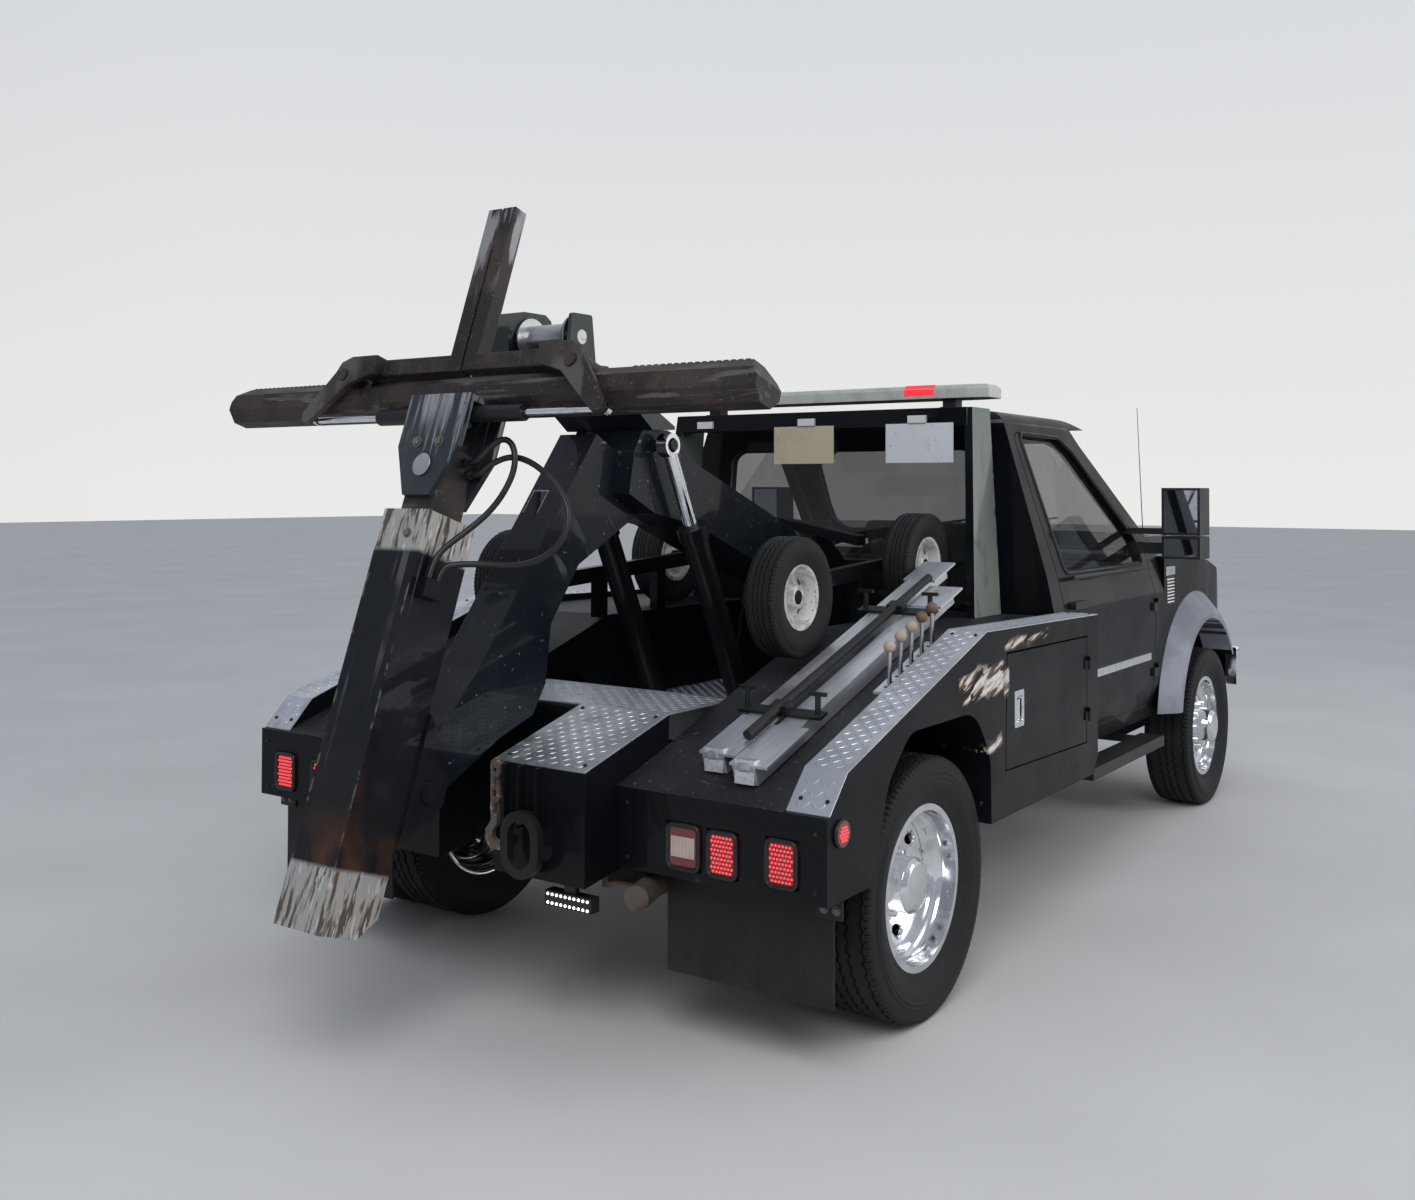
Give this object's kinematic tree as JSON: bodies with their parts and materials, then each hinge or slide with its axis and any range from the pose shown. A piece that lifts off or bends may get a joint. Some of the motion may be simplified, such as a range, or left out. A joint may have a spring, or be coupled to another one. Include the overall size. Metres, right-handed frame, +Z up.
{
  "type": "tow truck",
  "caption": "Wheel-lift tow truck with dual rear wheels, folding boom, hinged claws, stowed dolly wheels and side toolboxes.",
  "frame": {"origin": "on the ground below the middle of the whole truck at rest", "axes": "+X towards the front bumper, +Y to the truck's left, +Z up"},
  "size_m": [6.042, 2.53, 2.5615],
  "materials": {
    "black_paint": "satin black paint with dust",
    "liner_black": "textured black coating",
    "tread_plate": "bright raised-bar plate",
    "boom_black": "gloss black paint with scratches",
    "worn_steel": "scraped dark paint over brown rusty steel",
    "plate_white": "blank plates",
    "hose_black": "hydraulic hose cover",
    "aluminium": "mill aluminium tube",
    "steel_dark": "dark bare or painted steel",
    "steel_bright": "bare worn steel",
    "chrome": "polished",
    "tyre_black": "rubber tread",
    "glass_tint": "clear window glass",
    "lamp_red": "red lens",
    "plastic_black": "black moulded plastic",
    "seat_grey": "woven seat cover",
    "rubber_black": "flat rubber sheet",
    "cast_green": "grey-green housing paint"
  },
  "bodies": {
    "truck": {"chassis_frame": "steel_dark", "front_axle": "steel_dark", "rear_axle": "steel_dark", "engine_block": "steel_dark", "exhaust": "steel_dark", "cab_shell": "black_paint", "cab_glass": "glass_tint", "front_fenders": "black_paint", "front_bumper": "chrome", "grille": "chrome", "seats": "seat_grey", "dashboard": "plastic_black", "running_boards": "plastic_black", "tow_body": "liner_black", "tread_plates": "tread_plate", "tail_frame": "black_paint", "blank_plates": "plate_white", "tow_chain": "worn_steel", "dolly_clamps": "steel_dark", "tail_lamps": "lamp_red", "mud_flaps": "rubber_black", "headache_rack": "black_paint", "light_bar": "plastic_black", "boom_tower": "black_paint", "dolly_carriers": "black_paint", "dolly_axles": "aluminium", "control_levers": "steel_bright"},
    "hood": {"hood": "black_paint"},
    "door_left": {"cab_door_left": "black_paint"},
    "door_right": {"cab_door_right": "black_paint"},
    "toolbox_left": {"toolbox_door_left": "liner_black"},
    "toolbox_right": {"toolbox_door_right": "liner_black"},
    "steer_left": {"knuckle_left": "steel_dark"},
    "steer_right": {"knuckle_right": "steel_dark"},
    "wheel_front_left": {"front_wheel_left": "tyre_black"},
    "wheel_front_right": {"front_wheel_right": "tyre_black"},
    "wheels_rear_left": {"rear_wheels_left": "tyre_black"},
    "wheels_rear_right": {"rear_wheels_right": "tyre_black"},
    "dolly_rear_left": {"dolly_wheel_rear_left": "tyre_black"},
    "dolly_front_left": {"dolly_wheel_front_left": "tyre_black"},
    "dolly_rear_right": {"dolly_wheel_rear_right": "tyre_black"},
    "dolly_front_right": {"dolly_wheel_front_right": "tyre_black"},
    "boom": {"boom_arm": "boom_black", "boom_winch": "cast_green"},
    "lift_barrel_l": {"lift_barrel_left": "steel_dark"},
    "lift_barrel_r": {"lift_barrel_right": "steel_dark"},
    "lift_rod_l": {"lift_rod_left": "chrome"},
    "lift_rod_r": {"lift_rod_right": "chrome"},
    "stinger": {"stinger_tube": "boom_black"},
    "winch_drum": {"winch_drum": "steel_bright"},
    "stinger_slide": {"stinger_inner": "steel_bright", "hose_short": "hose_black", "hose_long": "hose_black"},
    "head": {"crossbar": "worn_steel", "claw_barrels": "steel_dark"},
    "claw_l": {"claw_left": "worn_steel"},
    "claw_r": {"claw_right": "worn_steel"},
    "claw_rod_l": {"claw_rod_left": "chrome"},
    "claw_rod_r": {"claw_rod_right": "chrome"}
  },
  "joints": [
    {"name": "boom_lift", "type": "hinge", "parent": "truck", "child": "boom", "pos_m": [-0.404, 0, 1.275], "axis": [0, -1, 0], "range_deg": [0, 12]},
    {"name": "stinger_fold", "type": "hinge", "parent": "boom", "child": "stinger", "pos_m": [-2.637, 0, 0.768], "axis": [0, -1, 0], "range_deg": [0, 98]},
    {"name": "stinger_extend", "type": "slide", "parent": "stinger", "child": "stinger_slide", "axis": [0.3239, 0, 0.9461], "range_m": [0, 0.45]},
    {"name": "winch_turn", "type": "hinge", "parent": "boom", "child": "winch_drum", "pos_m": [-2.054, -0.06, 2.15], "axis": [0, 1, 0], "continuous": true},
    {"name": "head_swivel", "type": "hinge", "parent": "stinger_slide", "child": "head", "pos_m": [-2.58338, 0, 1.73216], "axis": [-0.9461, 0, 0.3239], "range_deg": [-12, 12]},
    {"name": "claw_open_left", "type": "hinge", "parent": "head", "child": "claw_l", "pos_m": [-2.42264, 0.49, 2.01642], "axis": [-0.9461, 0, 0.3239], "range_deg": [0, 86]},
    {"name": "claw_open_right", "type": "hinge", "parent": "head", "child": "claw_r", "pos_m": [-2.42264, -0.49, 2.01642], "axis": [0.9461, 0, -0.3239], "range_deg": [0, 86]},
    {"name": "claw_rod_slide_left", "type": "slide", "parent": "head", "child": "claw_rod_l", "axis": [0, -1, 0], "range_m": [0, 0.259]},
    {"name": "claw_rod_slide_right", "type": "slide", "parent": "head", "child": "claw_rod_r", "axis": [0, 1, 0], "range_m": [0, 0.259]},
    {"name": "lift_barrel_swing_l", "type": "hinge", "parent": "truck", "child": "lift_barrel_l", "pos_m": [-1.088, 0.205, 0.76], "axis": [0, -1, 0], "range_deg": [0, 11.5]},
    {"name": "lift_rod_slide_l", "type": "slide", "parent": "lift_barrel_l", "child": "lift_rod_l", "axis": [-0.4417, 0, 0.8971], "range_m": [-0.181, 0]},
    {"name": "lift_barrel_swing_r", "type": "hinge", "parent": "truck", "child": "lift_barrel_r", "pos_m": [-1.088, -0.205, 0.76], "axis": [0, -1, 0], "range_deg": [0, 11.5]},
    {"name": "lift_rod_slide_r", "type": "slide", "parent": "lift_barrel_r", "child": "lift_rod_r", "axis": [-0.4417, 0, 0.8971], "range_m": [-0.181, 0]},
    {"name": "steer_left_turn", "type": "hinge", "parent": "truck", "child": "steer_left", "pos_m": [2.056, 0.8, 0.41], "axis": [0, 0, 1], "range_deg": [-32, 32]},
    {"name": "steer_right_turn", "type": "hinge", "parent": "truck", "child": "steer_right", "pos_m": [2.056, -0.8, 0.41], "axis": [0, 0, 1], "range_deg": [-32, 32]},
    {"name": "front_wheel_left_spin", "type": "hinge", "parent": "steer_left", "child": "wheel_front_left", "pos_m": [2.056, 0.9645, 0.41], "axis": [0, 1, 0], "continuous": true},
    {"name": "rear_wheels_left_spin", "type": "hinge", "parent": "truck", "child": "wheels_rear_left", "pos_m": [-1.524, 0.937, 0.41], "axis": [0, 1, 0], "continuous": true},
    {"name": "cab_door_left_open", "type": "hinge", "parent": "truck", "child": "door_left", "pos_m": [1.379, 1.008, 1], "axis": [0, 0, -1], "range_deg": [0, 65]},
    {"name": "toolbox_door_left_open", "type": "hinge", "parent": "truck", "child": "toolbox_left", "pos_m": [-0.188, 1.213, 0.88], "axis": [0, 0, -1], "range_deg": [0, 95]},
    {"name": "dolly_rear_left_spin", "type": "hinge", "parent": "truck", "child": "dolly_rear_left", "pos_m": [-1.464, 0.62, 1.29], "axis": [0, 1, 0], "continuous": true},
    {"name": "dolly_front_left_spin", "type": "hinge", "parent": "truck", "child": "dolly_front_left", "pos_m": [-0.489, 0.62, 1.357], "axis": [0, 1, 0], "continuous": true},
    {"name": "front_wheel_right_spin", "type": "hinge", "parent": "steer_right", "child": "wheel_front_right", "pos_m": [2.056, -0.9645, 0.41], "axis": [0, 1, 0], "continuous": true},
    {"name": "rear_wheels_right_spin", "type": "hinge", "parent": "truck", "child": "wheels_rear_right", "pos_m": [-1.524, -0.937, 0.41], "axis": [0, 1, 0], "continuous": true},
    {"name": "cab_door_right_open", "type": "hinge", "parent": "truck", "child": "door_right", "pos_m": [1.379, -1.008, 1], "axis": [0, 0, 1], "range_deg": [0, 65]},
    {"name": "toolbox_door_right_open", "type": "hinge", "parent": "truck", "child": "toolbox_right", "pos_m": [-0.188, -1.213, 0.88], "axis": [0, 0, 1], "range_deg": [0, 95]},
    {"name": "dolly_rear_right_spin", "type": "hinge", "parent": "truck", "child": "dolly_rear_right", "pos_m": [-1.464, -0.62, 1.29], "axis": [0, 1, 0], "continuous": true},
    {"name": "dolly_front_right_spin", "type": "hinge", "parent": "truck", "child": "dolly_front_right", "pos_m": [-0.489, -0.62, 1.357], "axis": [0, 1, 0], "continuous": true},
    {"name": "hood_open", "type": "hinge", "parent": "truck", "child": "hood", "pos_m": [1.946, 0, 1.3], "axis": [0, -1, 0], "range_deg": [0, 50]}
  ],
  "couplings": [
    {"joint": "claw_rod_slide_left", "follows": "claw_open_left", "m_per_rad": 0.1722},
    {"joint": "claw_rod_slide_right", "follows": "claw_open_right", "m_per_rad": 0.1722},
    {"joint": "lift_barrel_swing_l", "follows": "boom_lift", "ratio": 0.92848},
    {"joint": "lift_barrel_swing_r", "follows": "boom_lift", "ratio": 0.92848},
    {"joint": "lift_rod_slide_l", "follows": "boom_lift", "m_per_rad": -0.85116},
    {"joint": "lift_rod_slide_r", "follows": "boom_lift", "m_per_rad": -0.85116},
    {"joint": "steer_right_turn", "follows": "steer_left_turn", "ratio": 1}
  ]
}
